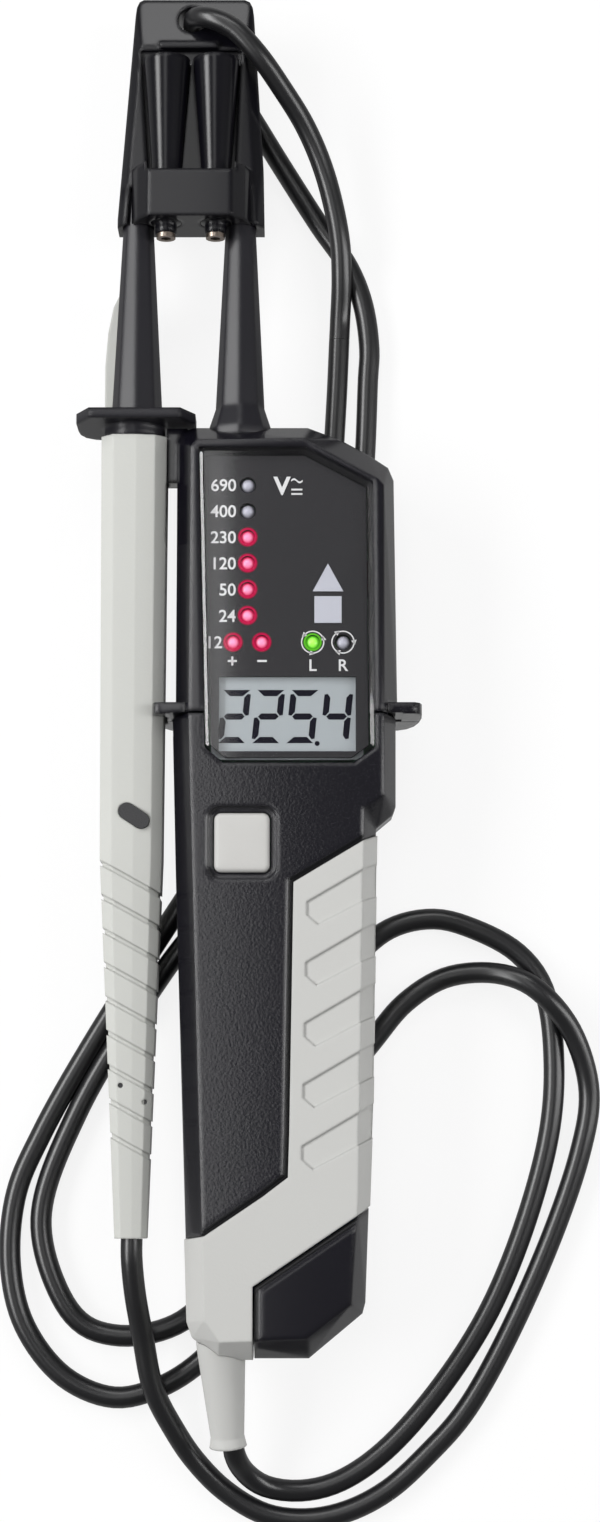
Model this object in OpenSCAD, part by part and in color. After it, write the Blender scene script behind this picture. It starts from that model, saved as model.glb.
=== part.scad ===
// Two-pole voltage tester: a main unit with a display, a docked second probe,
// a shared tip cap and one connecting cord. It lies on its back on a table.
// x runs across, y runs towards the tips, z is up; the cord runs under the body.

/* [Main housing] */
// Width of the display head
head_w = 44.2; // [38:0.1:52]
// Length of the display head, from the seam to the tip end
head_l = 59.4; // [50:0.1:70]
// Length of the handle, from the seam to its lower end
handle_l = 125.3; // [110:0.1:145]
// Height of the housing's back above the table, which leaves room for the cord
back_h = 5; // [4.9:0.1:8]
// Thickness of the housing from back to front
body_t = 19.8; // [18:0.1:24]
// Wall of the shells
wall = 2; // [1.6:0.1:2.4]
// Height of the seam between the back shell and the front shells, above the back
split_h = 7.5; // [6:0.1:9]
// Width of the bevel round the back
back_bevel = 3; // [1:0.1:4]
// Gap between the head cover and the lower front panel
seam_gap = 0.4; // [0.2:0.1:0.8]

/* [Grip] */
// Thickness of the soft overmould
grip_t = 1.4; // [1:0.1:1.6]
// How far the overmould stands proud of the housing
grip_proud = 0.3; // [0:0.1:0.5]
// Number of recessed finger pads
pad_count = 5; // [3:1:5]
// Distance between finger pads
pad_pitch = 11.8; // [10:0.1:13]
// Depth of the finger pads
pad_depth = 0.4; // [0.2:0.1:0.6]

/* [Finger guard] */
// Thickness of the guard's fins
fin_t = 2.2; // [1.6:0.1:3]
// How far the left fin reaches out from the head
fin_left = 4.4; // [4:0.1:5]
// How far the right fin reaches out from the head
fin_right = 4.9; // [4:0.1:8]
// Highest point of the fins above the table
fin_h = 23.2; // [20:0.1:24]

/* [Window and display] */
// Thickness of the clear window
window_t = 2.9; // [2:0.1:3]
// How far the window stands above the front
window_proud = 0.6; // [0:0.1:1]
// Width of the bevel round the window
window_bevel = 1; // [0.5:0.1:1.5]
// Thickness of the printed face plate
plate_t = 1.1; // [0.8:0.1:1.2]
// Width of the display's visible area
lcd_w = 27.1; // [24:0.1:28]
// Height of the display's visible area
lcd_h = 15; // [12:0.1:15.5]
// Frame of the display module round the visible area
lcd_frame = 1.5; // [1:0.1:1.8]
// Diameter of each lamp
lamp_d = 3; // [2:0.1:3.2]
// Distance between lamps in the column
lamp_pitch = 5.3; // [4.6:0.1:5.4]
// Number of lamps in the column
lamp_count = 6; // [4:1:6]

/* [Button] */
// Width of the button
button_w = 10.9; // [9:0.1:11.5]
// Length of the button
button_l = 11.7; // [10:0.1:12.5]
// Travel of the button
button_travel = 1; // [0.5:0.1:1]
// Margin of the recess round the button
button_margin = 1.3; // [1:0.1:1.4]
// Depth of the recess round the button
button_recess = 0.9; // [0.5:0.1:1]

/* [Batteries] */
// Diameter of each cell
cell_d = 10.2; // [10:0.1:10.4]
// Length of each cell
cell_l = 44.5; // [44:0.1:45]
// Width of the foot under the battery cover
foot_w = 8.6; // [7:0.1:9]
// Length of the foot under the battery cover
foot_l = 9.5; // [7:0.1:10]

/* [Tips] */
// Distance between the two tips
tip_pitch = 21; // [20:0.1:23]
// Diameter of the metal pins
pin_d = 2; // [1.6:0.1:2.2]
// Bare length of the metal pins
pin_l = 19; // [15:0.1:19.5]
// Length of the insulated cones, from the head's edge
cone_l = 50; // [46:0.1:54]
// Radius of each cone at its foot
cone_foot_r = 5.2; // [4.5:0.1:5.6]
// Radius of each cone at its end
cone_end_r = 2.75; // [2.4:0.05:2.9]

/* [Second probe] */
// Width of the probe's tube
tube_w = 13.4; // [12:0.1:14]
// Thickness of the probe's tube
tube_t = 12.7; // [12:0.1:14]
// Length of the probe's tube
tube_l = 159.8; // [140:0.1:170]
// Width of the tube at its tail
tail_w = 6.4; // [6:0.1:8]
// Wall of the tube
tube_wall = 1.8; // [1.4:0.1:2]
// Number of grip grooves
groove_count = 9; // [5:1:9]
// Distance between grip grooves
groove_pitch = 6.5; // [5:0.1:7]
// Width of each groove
groove_w = 0.9; // [0.5:0.1:1.4]
// Depth of each groove
groove_d = 0.45; // [0.2:0.05:0.6]
// Width of the probe's guard flange
flange_w = 24.1; // [22:0.1:26]
// Height of the probe's guard flange
flange_h = 18.6; // [16:0.1:20]
// Thickness of the probe's guard flange
flange_t = 2; // [1.5:0.1:3]

/* [Tip cap] */
// Length of the cap
cap_l = 49.2; // [46:0.1:54]
// Width of the cap at its mouth
cap_w = 30.2; // [29.4:0.1:33]
// Thickness of the cap's plate and rails
cap_t = 10; // [9:0.1:11]
// Length of the band that holds the sleeves
band_l = 11.5; // [8:0.1:12]
// Distance between the two stored sleeves
sleeve_pitch = 10.1; // [9.9:0.1:10.4]
// Radius of a sleeve at its thick end
sleeve_r = 4.75; // [4.2:0.05:4.8]
// Radius of a sleeve inside the band
sleeve_neck_r = 3.05; // [2.8:0.05:3.1]
// Diameter of the stored metal adapters
adapter_d = 3; // [2.6:0.1:3.2]
// Length of the stored metal adapters
adapter_l = 18; // [14:0.1:20]
// Diameter of the hole for the cord
cord_hole_d = 6; // [5.6:0.1:7]

/* [Cord] */
// Diameter of the cord
cord_d = 4.3; // [3.5:0.1:4.6]
// Length of the strain relief outside the housing
boot_l = 19.4; // [14:0.1:24]
// Radius of the strain relief at the housing
boot_root_r = 4.75; // [4:0.05:5.2]
// Radius of the strain relief at its end
boot_end_r = 3.65; // [3:0.05:4]

/* [Hidden] */
$fn = 48;

// General clearances and overruns
sliver = 0.01;
over = 1;
fit = 0.15;
play = 0.3;

// Places: the datum is the left side of the lamp column and the head's seam
seam_y = 2;
head_left = -15;
head_top = seam_y + head_l;
head_right = head_left + head_w;
handle_end = seam_y - handle_l;
front_z = back_h + body_t;
split_z = back_h + split_h;
axis_share = 0.47;
axis_z = back_h + body_t * axis_share;
tip_share = 0.285;
tip_x = head_left + head_w * tip_share;
probe_x = tip_x - tip_pitch;

// Outlines of the housing, as shares of the head's width and of each length
head_rim_shares = [[0, 0], [0, 0.943], [0.023, 0.987], [0.08, 1], [0.597, 1],
    [0.753, 0.955], [0.88, 0.902], [0.964, 0.86], [0.989, 0.815], [1, 0.06], [1, 0]];
head_front_shares = [[0.066, 0], [0.07, 0.904], [0.093, 0.926], [0.57, 0.931],
    [0.912, 0.79], [0.937, 0.77], [0.934, 0]];
shoulder_rim_shares = [[-0.014, 0], [0, -0.15], [0.903, -0.178], [0.977, -0.156],
    [0.991, -0.143], [0.993, 0]];
shoulder_front_shares = [[0.066, 0], [0.077, -0.15], [0.846, -0.152],
    [0.934, -0.131], [0.934, 0]];
handle_rim_shares = [[-0.012, -0.03], [0.005, -0.255], [0.023, -0.446],
    [0.043, -0.654], [0.059, -0.818], [0.07, -0.944], [0.093, -0.967], [0.208, -1],
    [0.6, -1], [0.835, -0.932], [0.848, -0.915], [0.858, -0.775], [0.882, -0.604],
    [0.888, -0.289], [0.903, -0.166], [0.904, -0.03]];
handle_front_shares = [[0.068, -0.03], [0.088, -0.265], [0.12, -0.621],
    [0.143, -0.804], [0.149, -0.939], [0.215, -0.971], [0.59, -0.966],
    [0.78, -0.915], [0.81, -0.758], [0.812, -0.296], [0.84, -0.152], [0.85, -0.03]];
// Heights of the widest band of the housing, as shares of its thickness
rim_low_share = 0.2;
rim_high_share = 0.62;

// Grip region and battery cover region, in plan
grip_shares = [[0.529, -0.268], [0.511, -0.6545], [0.505, -0.723], [0.396, -0.752],
    [0.143, -0.8117], [-0.1, -0.8295], [-0.1, -1.2], [1.1, -1.2], [1.1, -0.1473]];
cover_slope_shares = [[1.1, -1.2], [1.1, -0.716]];
cover_corner_share = -0.89;
// One finger pad, from its corner next to the panel
pad_shares = [[0.59, -0.2993], [1.1, -0.1943], [1.1, -0.25], [0.638, -0.335],
    [0.59, -0.32]];
// How far each pad lies to the left of the pad above it
pad_drift = 0.25;
foot_shares = [0.502, -0.861];
// Lowered border of the front panel and the battery cover, next to the grip
border_w = 0.9;
border_t = 0.35;

// Window outline and lamp places, as shares of the head
window_shares = [[0.106, 0.9], [0.588, 0.9], [0.887, 0.781], [0.893, -0.115],
    [0.797, -0.167], [0.219, -0.167], [0.14, -0.116]];
lamp_x_share = 0.325;
lamp_top_share = 0.779;
row_y_share = 0.242;
row_x_shares = [0.26, 0.389, 0.618, 0.754];
lcd_shares = [0.504, 0];
triangle_shares = [[0.687, 0.51], [0.618, 0.415], [0.756, 0.415]];
square_shares = [0.687, 0.353];
square_w = 5.4;
lamp_r = lamp_d / 2;
window_top = front_z + window_proud;
window_base = window_top - window_t;
plate_top = window_base - sliver;
plate_base = plate_top - plate_t;
board_t = 1.6;
board_lift = 0.6;
board_base = split_z + board_lift;
board_top = board_base + board_t;

// Places in the handle
button_shares = [0.304, -0.2063];
button_x = head_left + head_w * button_shares[0];
button_y = seam_y + handle_l * button_shares[1];
buzzer_shares = [0.4, -0.32];
buzzer_r = 6;
buzzer_h = 4.5;
// The cells lie next to the handle's right wall, and the cover's left edge follows them
cell_gap = 0.2;
cell_side_gap = 1.65;
cell_side_share = 0.848;
cell_y_share = -0.902;
cell_z_share = 0.45;
cell_pitch = cell_d + cell_gap;
cell_x = head_left + head_w * cell_side_share - cell_side_gap - cell_pitch - cell_d / 2;
cell_y = seam_y + handle_l * cell_y_share;
cell_z = back_h + body_t * cell_z_share;
cell_cap_l = 1;
cover_lap = 0.77;
cover_left = cell_x - cell_d / 2 + cover_lap;
cover_outline = concat([[cover_left, seam_y + handle_l * cover_slope_shares[0][1]],
    [cover_left, seam_y + handle_l * cover_corner_share]], on_handle([cover_slope_shares[1], cover_slope_shares[0]]));
contact_t = 0.3;
contact_lap = 0.15;
board_clearance = 6.1;
board_end = cell_y + cell_l + board_clearance;
screw_places = [[0.14, 0.84, head_l], [0.85, 0.47, head_l], [0.147, -0.112, handle_l],
    [0.43, -0.4, handle_l], [0.195, -0.75, handle_l]];
screw_r = 1.3;
screw_head_r = 2.5;
screw_head_h = 2;
boss_r = 3.4;
boss_drop = 4.6;
boss_top = front_z - boss_drop;
boot_root_shares = [0.214, -0.985];
boot_end_shares = [0.25, -1.149];
boot_root = [head_left + head_w * boot_root_shares[0], seam_y + handle_l * boot_root_shares[1]];
boot_yaw = 4;
boot_pitch = 10;
boot_cosine = cos(boot_yaw) * cos(boot_pitch);
boot_reach = boot_l * boot_cosine + boot_end_r * sqrt(1 - boot_cosine * boot_cosine);

flare_l = 4.6;
flare_r = 6.5;
flare_seat = 2;
boot_neck_share = 0.9;
boot_lip_l = 2;

// Second probe
tube_drop = 2.1;
tube_top = head_top - tube_drop;
tube_end = tube_top - tube_l;
collar_l = 2.7;
flange_y = tube_top + collar_l;
tube_section_shares = [[-0.53, 0.4], [-0.515, 0.82], [-0.33, 1], [0.02, 1], [0.3, 0.95],
    [0.47, 0.8], [0.47, 0.16], [0.36, 0], [-0.34, 0], [-0.53, 0.21]];
tube_mid_share = 0.535;
tube_mid_w_share = 0.93;
tube_mid_t_share = 0.97;
tail_wall_share = 0.6;
tail_shift_share = 0.05;
rail_l = 11.2;
rail_neck = 5;
rail_head = 6.8;
insert_w = 6.6;
insert_h = 3.2;
insert_angle = -33;
insert_shares = [0.03, 0.484];
dot_shares = [[-0.142, 0.815], [0.209, 0.835]];
dot_r = 0.5;
fin_outline_shares = [[-0.52, 0], [-0.52, 0.45], [-0.48, 0.7], [-0.4, 0.9], [-0.3, 1], [0.1, 1], [0.1, 0]];
rear_fin_l = 28;
rear_fin_t = 2.4;

// Tip cap
cap_y_share = 0.858;
cap_base_share = 0.73;
cap_left_share = 0.1424;
cap_y = head_top + cone_l * cap_y_share;
cap_base = axis_z - cap_t * cap_base_share;
cap_left = probe_x - cap_w * cap_left_share;
cap_bevel = 2;
cap_rim_shares = [[0, 0], [0, 0.035], [0.111, 0.928], [0.119, 0.965], [0.137, 0.99],
    [0.168, 1], [0.862, 1], [0.897, 0.99], [0.917, 0.965], [0.926, 0.925],
    [0.937, 0.787], [0.993, 0.258], [1, 0]];
cap_front_shares = [[0.05, 0], [0.16, 0.787], [0.87, 0.787], [0.95, 0]];
band_low_shares = [[0.05, 0.95], [0.142, 0.867], [0.22, 0.78]];
sleeve_x_share = 0.502;
sleeve_z_share = 0.35;
sleeve_top_share = 0.708;
sleeve_x = cap_left + cap_w * sleeve_x_share;
sleeve_z = axis_z + cap_t * sleeve_z_share;
sleeve_top = cap_y + cap_l * sleeve_top_share;
sleeve_step = 1;
trough_shares = [[0.15, 0.76], [0.84, 0.76], [0.8, 0.2], [0.21, 0.2]];
hole_shares = [0.505, 0.905];
collar_r = 2.2;
collar_out = 2.3;
ring_r = 1.95;
ring_t = 0.85;
rib_shares = [[0.28, 0.765], [0.68, 0.795]];

// Routes of the cord: x, y and height above the table
cord_r = cord_d / 2;
main_route = [[-3, -142, 9.5], [-1, -146, 6], [8.6, -150, 2.3], [23.2, -144.9, 2.2],
    [38.7, -128.5, 2.2], [50.2, -109.4, 2.2], [57.8, -88.3, 2.2], [61, -66, 2.2],
    [57, -47, 2.2], [40.2, -37.4, 2.2], [25.5, -40.6, 2.2], [11.7, -58.7, 2.2],
    [3.5, -79.4, 2.2], [-3.3, -101.6, 2.2], [-12, -116, 2.2], [-26, -120, 2.2],
    [-36.4, -114.7, 2.2], [-42, -97, 2.2], [-37.5, -81.4, 2.2], [-26.5, -62, 2.2],
    [-14.5, -43.1, 2.2], [-0.8, -25.3, 2.2], [6.4, -9.1, 2.2], [15, 12, 2.2],
    [20.5, 32.9, 2.2], [23, 55, 2.2], [24, 76, 2.2]];
loop_route = [[24, 76, 2.2], [24.3, 82.3, 2.2], [23, 92, 2.2], [20.6, 98.7, 2.2],
    [8.4, 118.1, 2.2], [-3, 137, 2.2], [-9, 145.5, 2.4], [-12, 148.2, 4.6],
    [-12.4, 148.9, 13], [-11.6, 148.6, 17.5], [-8.5, 147.4, 20], [-4, 145, 20.6],
    [1, 140, 19.6], [10.3, 128.2, 12.6], [14.5, 119.4, 9.3], [18.2, 103.7, 6.9],
    [18.2, 88.4, 2.2], [18, 84, 2.2]];
probe_route = [[18, 84, 2.2], [17.4, 70.8, 2.2], [15.9, 48.4, 2.2], [12.8, 28.7, 2.2],
    [4.8, 7.3, 2.2], [-3.1, -14.1, 2.2], [-12.5, -31.2, 2.2], [-24.8, -50.4, 2.2],
    [-36.5, -69.6, 2.2], [-46.2, -89.3, 2.2], [-48, -106, 2.2], [-44.3, -119.2, 2.2],
    [-35.8, -128.9, 2.2], [-25.5, -132, 2.2], [-12.5, -126.9, 2.2], [-2.2, -115.7, 2.2],
    [6.8, -94.8, 2.2], [15.3, -74.3, 2.2], [28.8, -56.2, 2.2], [39, -49, 2.2],
    [49.5, -48.2, 4.5], [57.7, -51.8, 7], [64.4, -59.7, 5], [68, -72, 2.2],
    [66.4, -82.5, 2.2], [58.9, -103.3, 2.2], [49.2, -123.6, 2.2], [39.3, -138.7, 2.2],
    [24.5, -151.6, 2.2], [11, -155.5, 2.2], [-1.2, -152.6, 2.2], [-11.9, -142.9, 3.3],
    [-20, -125.8, 8.2], [-23.1, -104, 14.3], [-23.1, -100.6, 14.3]];
cord_sides = 8;

// The origin is under the middle of everything but the free cord
span_left = probe_x - flange_w / 2;
span_right = head_right + fin_right;
span_low = boot_root[1] - boot_reach;
span_high = cap_y + cap_l;
module placed() {
    translate([-(span_left + span_right) / 2, -(span_low + span_high) / 2, 0]) children();
}

// Shared helpers
function on_head(shares) = [for (s = shares) [head_left + head_w * s[0], seam_y + head_l * s[1]]];
function on_handle(shares) = [for (s = shares) [head_left + head_w * s[0], seam_y + handle_l * s[1]]];
function on_cap(shares) = [for (s = shares) [cap_left + cap_w * s[0], cap_y + cap_l * s[1]]];

module slice(points, z, inset = 0) {
    translate([0, 0, z]) linear_extrude(height = sliver) offset(delta = -inset) polygon(points);
}

module prism(points, low, high, grow = 0) {
    translate([0, 0, low]) linear_extrude(height = high - low) offset(delta = grow) polygon(points);
}

module section(points, y) {
    translate([0, y, 0]) rotate([90, 0, 0]) linear_extrude(height = sliver) polygon(points);
}

// A round bar along +y from a point
module bar(x, y, z, length, r1, r2) {
    translate([x, y, z]) rotate([-90, 0, 0]) cylinder(h = length, r1 = r1, r2 = r2);
}

module block(low, high) {
    translate(low) cube(high - low);
}

module soft_block(x, y, low, high, w, l, r) {
    translate([x, y, low]) linear_extrude(height = high - low) union() {
        square([w - 2 * r, l], center = true);
        square([w, l - 2 * r], center = true);
        for (i = [-1, 1], j = [-1, 1])
            translate([i * (w / 2 - r), j * (l / 2 - r)]) circle(r = r);
    }
}

// Housing forms, each bevelled towards the back and the front
module loft(rim, front, inset, roof) {
    hull() {
        slice(rim, back_h + inset, back_bevel + inset / 2);
        slice(rim, back_h + body_t * rim_low_share, inset);
        slice(rim, back_h + body_t * rim_high_share, inset);
        slice(front, front_z - roof - sliver, inset / 2);
    }
}

module head_form(inset, roof) {
    loft(on_head(head_rim_shares), on_head(head_front_shares), inset, roof);
}

module lower_form(inset, roof) {
    loft(on_handle(shoulder_rim_shares), on_handle(shoulder_front_shares), inset, roof);
    loft(on_handle(handle_rim_shares), on_handle(handle_front_shares), inset, roof);
}

module handle_form(inset, roof) {
    loft(on_handle(handle_rim_shares), on_handle(handle_front_shares), inset, roof);
}

// Opens the shells to each other behind the seam
module seam_bridge() {
    block([head_left + wall + fit, seam_y - 3 * wall, back_h + body_t * rim_low_share],
        [head_right - wall - fit, seam_y + 3 * wall, back_h + body_t * rim_high_share]);
    block([head_left + wall + back_bevel, seam_y - 3 * wall, back_h + wall],
        [head_right - wall - back_bevel, seam_y + 3 * wall, plate_base - fit]);
}

// Carries the bevelled back across the seam
module seam_back() {
    translate([0, seam_y + back_bevel + over, 0]) rotate([90, 0, 0]) linear_extrude(height = 2 * (back_bevel + over))
        polygon([[head_left + play + back_bevel, back_h], [head_left + play, back_h + body_t * rim_low_share],
            [head_left + play, split_z + over], [head_right - 2 * play, split_z + over],
            [head_right - 2 * play, back_h + body_t * rim_low_share], [head_right - 2 * play - back_bevel, back_h]]);
}

module grip_prism(grow = 0) {
    prism(on_handle(grip_shares), -over, front_z + over, grow);
}

module cover_prism(grow = 0) {
    prism(cover_outline, -over, front_z + over, grow);
}

// What the soft overmould takes away from the shells below it
module grip_space() {
    difference() {
        grip_prism();
        handle_form(grip_t, grip_t);
    }
}

module screw_at(i) {
    s = screw_places[i];
    translate([head_left + head_w * s[0], seam_y + s[2] * s[1], 0]) children();
}

module boot_axis() {
    translate([boot_root[0], boot_root[1], axis_z]) rotate([-90 + boot_pitch, 0, 0])
        rotate([180, 0, 0]) rotate([0, boot_yaw, 0]) children();
}

module boot_shape(grow = 0) {
    neck_r = boot_end_r * boot_neck_share + grow;
    boot_axis() {
        cylinder(h = boot_l - boot_lip_l, r1 = boot_root_r + grow, r2 = neck_r);
        translate([0, 0, boot_l - boot_lip_l - sliver]) cylinder(h = boot_lip_l + sliver, r1 = neck_r, r2 = boot_end_r + grow);
        translate([0, 0, -wall * 2]) cylinder(h = wall * 2 + sliver, r = boot_root_r + grow);
    }
}

// The guard's fins, from their foot on the table to their rounded ends
fin_left_shares = [[0.35, 0], [0.72, 0.14], [0.95, 0.4], [1, 0.62], [1, 0.93], [0.9, 0.985], [0.72, 1]];
fin_right_shares = [[0.12, 0], [0.5, 0.08], [0.78, 0.24], [0.94, 0.46], [1, 0.7], [0.98, 0.87],
    [0.88, 0.96], [0.68, 1]];
module fin_outline(side, way, reach, shares) {
    polygon(concat([[side - way * wall, 0]], [for (s = shares) [side + way * reach * s[0], fin_h * s[1]]],
        [[side - way * wall, fin_h]]));
}

module fin_plate(low, high) {
    intersection() {
        translate([0, seam_y + fin_t, 0]) rotate([90, 0, 0]) linear_extrude(height = fin_t) union() {
            fin_outline(head_left, -1, fin_left, fin_left_shares);
            fin_outline(head_right, 1, fin_right, fin_right_shares);
        }
        block([head_left - head_w, seam_y - over, low], [head_right + head_w, seam_y + fin_t + over, high]);
    }
}

module docked_tube_space() {
    translate([0, seam_y + fin_t + over, 0]) rotate([90, 0, 0]) linear_extrude(height = fin_t + 2 * over)
        offset(delta = play) polygon(tube_points(tube_w, tube_t, 0, 0));
}

module tip_seat() {
    bar(tip_x, head_top - wall * 3, axis_z, wall * 4, cone_foot_r + fit, cone_foot_r + fit);
    bar(tip_x, head_top - flare_seat - fit, axis_z, flare_seat + wall, flare_r + fit, flare_r + fit);
}

module rear_shell() placed() color("#26262b") difference() {
    union() {
        difference() {
            union() {
                head_form(0, 0);
                lower_form(0, 0);
                seam_back();
            }
            difference() {
                union() {
                    head_form(wall, wall);
                    lower_form(wall, wall);
                    seam_bridge();
                }
                for (i = [0 : len(screw_places) - 1])
                    screw_at(i) translate([0, 0, back_h]) cylinder(h = split_h, r = boss_r);
            }
        }
        fin_plate(0, split_z);
        block([head_left - fit - wall, head_top - rail_l, axis_z - rail_neck / 2],
            [head_left + wall, head_top, split_z + sliver]);
    }
    translate([0, 0, split_z]) block([head_left - head_w, handle_end - over, 0],
        [head_right + head_w, head_top + over, body_t]);
    grip_space();
    cover_prism(play);
    docked_tube_space();
    tip_seat();
    boot_shape(fit);
    for (i = [0 : len(screw_places) - 1]) screw_at(i) {
        translate([0, 0, back_h - over]) cylinder(h = screw_head_h + over, r = screw_head_r + play);
        cylinder(h = split_z + over, r = screw_r + fit);
    }
}

module front_boss(i) {
    screw_at(i) translate([0, 0, board_top]) difference() {
        cylinder(h = front_z - wall - board_top, r = boss_r - fit);
        translate([0, 0, -over]) cylinder(h = boss_top - board_top + over, r = screw_r);
    }
}

module head_cover() placed() color("#26262b") difference() {
    union() {
        difference() {
            head_form(0, 0);
            head_form(wall, front_z - plate_base + fit);
            seam_bridge();
        }
        intersection() {
            head_form(0, 0);
            for (i = [0, 1]) screw_at(i) translate([0, 0, board_top + fit])
                cylinder(h = plate_base - board_top, r = boss_r);
        }
        fin_plate(split_z, fin_h);
        block([head_left - fit - wall, head_top - rail_l, split_z + sliver],
            [head_left + wall, head_top, axis_z + rail_neck / 2]);
    }
    prism(on_head(window_shares), window_base, front_z + over, fit);
    prism(on_head(window_shares), plate_base - over, window_base + sliver, -window_bevel);
    for (i = [0, 1]) screw_at(i) cylinder(h = boss_top, r = screw_r);
    translate([0, 0, split_z + sliver - body_t]) block([head_left - head_w, seam_y - over, 0],
        [head_right + head_w, head_top + over, body_t]);
    block([head_left - over, seam_y - over, split_z], [head_right + over, seam_y + seam_gap / 2, front_z + over]);
    docked_tube_space();
    tip_seat();
}

module lower_front_panel() placed() color("#232327") difference() {
    union() {
        difference() {
            lower_form(0, 0);
            lower_form(wall, wall);
            seam_bridge();
        }
        intersection() {
            lower_form(0, 0);
            for (i = [2, 3, 4]) front_boss(i);
        }
    }
    translate([0, 0, split_z + sliver - body_t]) block([head_left - head_w, handle_end - over, 0],
        [head_right + head_w, seam_y + over, body_t]);
    block([head_left - over, seam_y - seam_gap / 2, split_z], [head_right + over, head_top, front_z + over]);
    grip_space();
    cover_prism(play);
    prism(on_handle(grip_shares), front_z - border_t, front_z + over, border_w);
    prism(on_head(window_shares), split_z, front_z + over, fit);
    soft_block(button_x, button_y, front_z - button_recess, front_z + over,
        button_w + 2 * button_margin, button_l + 2 * button_margin, button_margin * 2);
    soft_block(button_x, button_y, split_z, front_z,
        button_w + 2 * fit, button_l + 2 * fit, button_margin + fit);
    boot_shape(fit);
}

module grip_overmould() placed() color("#c4c4bf") difference() {
    intersection() {
        handle_form(-grip_proud, -grip_proud);
        grip_prism(-fit);
    }
    handle_form(grip_t - fit, grip_t - fit);
    cover_prism(play);
    difference() {
        for (i = [0 : pad_count - 1]) translate([-i * pad_drift, -i * pad_pitch, 0])
            prism(on_handle(pad_shares), split_z, front_z + over);
        handle_form(pad_depth - grip_proud, pad_depth - grip_proud);
    }
    boot_shape(fit);
}

foot_x = head_left + head_w * foot_shares[0];
foot_y = seam_y + handle_l * foot_shares[1];
// The handle's form again, with its widest band in one piece
module cover_form(inset, roof) {
    hull() {
        slice(on_handle(handle_rim_shares), back_h + inset, back_bevel + inset / 2);
        prism(on_handle(handle_rim_shares), back_h + body_t * rim_low_share, back_h + body_t * rim_high_share, -inset);
        slice(on_handle(handle_front_shares), front_z - roof - sliver, inset / 2);
    }
}

module battery_cover() placed() color("#26262b") difference() {
    union() {
        difference() {
            intersection() {
                cover_form(0, 0);
                cover_prism();
            }
            cover_form(wall / 2 + play, wall);
            difference() {
                prism(cover_outline, front_z - border_t, front_z + over);
                cover_prism(-border_w);
            }
        }
        block([foot_x, foot_y - foot_l, 0], [foot_x + foot_w, foot_y, back_h + over]);
    }
    translate([foot_x + foot_w / 2, foot_y - foot_l / 2, -over])
        cylinder(h = back_h + wall + 2 * over, r = screw_head_r + play);
}

module battery_cover_contact() placed() color("#c9c9c4") {
    block([cover_left + play, cell_y - over - contact_t, cell_z - cell_d / 3],
        [cell_x + cell_pitch + cell_d / 4, cell_y - over + contact_lap, cell_z + cell_d / 3]);
}

module battery_cover_screw() placed() color("#8f9093")
    translate([foot_x + foot_w / 2, foot_y - foot_l / 2, 0]) difference() {
        translate([0, 0, play]) cylinder(h = back_h + wall - play, r = screw_head_r);
        translate([-screw_head_r * 0.8, -fit * 2, 0]) cube([screw_head_r * 1.6, fit * 4, play + screw_head_h / 2]);
    }

module display_window() placed() color("#3a4046", 0.5) hull() {
    slice(on_head(window_shares), window_base);
    slice(on_head(window_shares), front_z);
    slice(on_head(window_shares), window_top - sliver, window_bevel);
}

module lamp_places(list) {
    for (i = list) translate(i < lamp_count
        ? [head_left + head_w * lamp_x_share, seam_y + head_l * lamp_top_share - i * lamp_pitch, 0]
        : [head_left + head_w * row_x_shares[i - lamp_count], seam_y + head_l * row_y_share, 0]) children();
}

module symbol_outlines() {
    polygon(on_head(triangle_shares));
    translate([head_left + head_w * square_shares[0], seam_y + head_l * square_shares[1]])
        square([square_w, square_w], center = true);
}

module face_plate() placed() color("#1d1d22") difference() {
    prism(on_head(window_shares), plate_base, plate_top, -window_bevel - fit);
    lamp_places([0 : lamp_count + 3]) translate([0, 0, plate_base - over])
        cylinder(h = plate_t + 2 * over, r = lamp_r + fit);
    translate([head_left + head_w * lcd_shares[0], seam_y + head_l * lcd_shares[1], plate_base - over])
        translate([-lcd_w / 2, -lcd_h / 2, 0]) cube([lcd_w, lcd_h, plate_t + 2 * over]);
    translate([0, 0, plate_base - over]) linear_extrude(height = plate_t + 2 * over)
        offset(delta = fit / 2) symbol_outlines();
}

module symbol_windows() placed() color("#c9cdd2")
    translate([0, 0, plate_base]) linear_extrude(height = plate_t) symbol_outlines();

module lcd_module() placed() color("#9aa39f")
    translate([head_left + head_w * lcd_shares[0], seam_y + head_l * lcd_shares[1], board_top]) {
        translate([-lcd_w / 2 - lcd_frame, -lcd_h / 2 - lcd_frame, 0])
            cube([lcd_w + 2 * lcd_frame, lcd_h + 2 * lcd_frame, plate_base - board_top - fit]);
    }

board_head_shares = [[0.065, 0.88], [0.6, 0.88], [0.88, 0.8], [0.94, 0.7]];
board_neck_shares = [[0.94, -0.095], [0.78, -0.199]];
board_end_shares = [0.78, 0.1];
module circuit_board() placed() color("#1f5a38") difference() {
    prism(concat(on_head(board_head_shares), on_handle(board_neck_shares),
        [for (s = board_end_shares) [head_left + head_w * s, board_end]],
        on_handle([[board_head_shares[0][0], board_neck_shares[0][1]]])), board_base, board_top);
    for (i = [0 : len(screw_places) - 1]) screw_at(i) cylinder(h = board_top + over, r = screw_r + fit);
}

module lamp() {
    translate([0, 0, board_top]) cylinder(h = plate_top - board_top - lamp_r, r = lamp_r);
    translate([0, 0, plate_top - lamp_r]) sphere(r = lamp_r);
}

module lamps_red() placed() color("#e8506a") lamp_places([2, 3, 4, 5, 6, 7]) lamp();
module lamps_green() placed() color("#7fe04a") lamp_places([8]) lamp();
module lamps_clear() placed() color("#b9bcd0") lamp_places([0, 1, 9]) lamp();

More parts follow.
